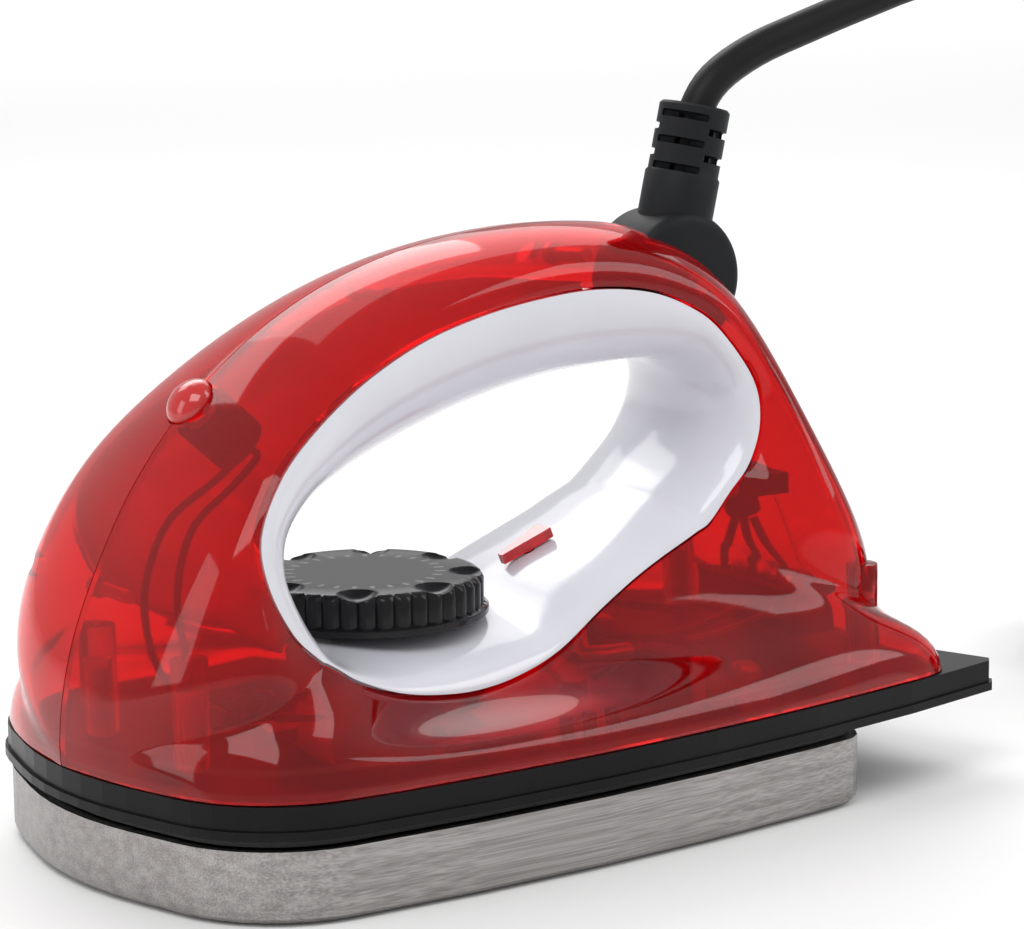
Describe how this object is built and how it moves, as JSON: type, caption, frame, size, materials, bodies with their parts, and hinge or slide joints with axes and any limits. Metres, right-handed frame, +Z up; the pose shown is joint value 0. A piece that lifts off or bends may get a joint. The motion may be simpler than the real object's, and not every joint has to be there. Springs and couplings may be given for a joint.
{
  "type": "waxing iron",
  "caption": "Electric ski waxing iron: flat thick sole, black band, clear red housing round an open grip, temperature knob, signal lamp and swivelling cord outlet.",
  "frame": {"origin": "on the plane of the lower face of the sole, midway between nose and heel, on the middle plane", "axes": "+X from the nose to the heel, +Z up from the sole, +Y to the right-hand shell"},
  "size_m": [0.3375, 0.1085, 0.1544],
  "materials": {
    "sole_aluminium": "brushed lengthwise",
    "steel": "plain",
    "aluminium": "plain",
    "brass": "plain",
    "silicone": "matte",
    "black_plastic": "satin",
    "clear_red": "translucent, glossy",
    "white_plastic": "glossy",
    "knob_black": "glossy",
    "lamp_glass": "clear",
    "ceramic": "unglazed ceramic",
    "rubber": "matte",
    "brown_wire": "wire insulation",
    "blue_wire": "wire insulation",
    "green_wire": "wire insulation"
  },
  "bodies": {
    "housing": {"base_screw_1": "steel", "base_screw_2": "steel", "base_screw_3": "steel", "base_screw_4": "steel", "base_skirt": "black_plastic", "bimetal_strip": "brass", "clamp_screw_1": "steel", "clamp_screw_2": "steel", "cord_clamp": "black_plastic", "cord_coil": "rubber", "earth_lead": "green_wire", "earth_screw": "steel", "earth_wire": "green_wire", "element_lead": "blue_wire", "fuse_lead": "brown_wire", "grip_liner": "white_plastic", "heat_shield": "steel", "heating_element": "steel", "inner_cord": "rubber", "lamp_holder": "black_plastic", "lamp_lens": "clear_red", "lamp_wire_1": "rubber", "lamp_wire_2": "rubber", "left_shell": "clear_red", "live_wire": "brown_wire", "mains_cord": "rubber", "mains_plug": "black_plastic", "neon_lamp": "lamp_glass", "neutral_wire": "blue_wire", "plug_lead": "rubber", "return_lead": "blue_wire", "right_shell": "clear_red", "shell_screw_1": "steel", "shell_screw_2": "steel", "shell_screw_3": "steel", "sole_gasket": "silicone", "sole_plate": "sole_aluminium", "sole_screw_1": "steel", "sole_screw_2": "steel", "sole_screw_3": "steel", "swivel_pin": "steel", "temperature_pointer": "clear_red", "terminal_block": "black_plastic", "terminal_screw_1": "steel", "terminal_screw_2": "steel", "terminal_screw_3": "steel", "thermal_fuse": "aluminium", "thermostat_body": "ceramic", "thermostat_bracket": "steel", "thermostat_bush": "brass", "thermostat_lead": "brown_wire", "thermostat_screw_1": "steel", "thermostat_screw_2": "steel", "thermostat_tab_1": "steel", "thermostat_tab_2": "steel"},
    "knob": {"thermostat_knob": "knob_black", "thermostat_shaft": "steel", "knob_clip": "steel"},
    "swivel": {"bend_sleeve": "rubber"}
  },
  "joints": [
    {"name": "knob_turn", "type": "hinge", "parent": "housing", "child": "knob", "pos_m": [-0.0279, 0, 0.0399], "axis": [0, 0, 1], "range_deg": [-180, 90]},
    {"name": "cord_swivel", "type": "hinge", "parent": "housing", "child": "swivel", "pos_m": [0.0412, 0, 0.0956], "axis": [0, 1, 0], "range_deg": [-15, 50], "deforming": ["mains_cord"]}
  ]
}
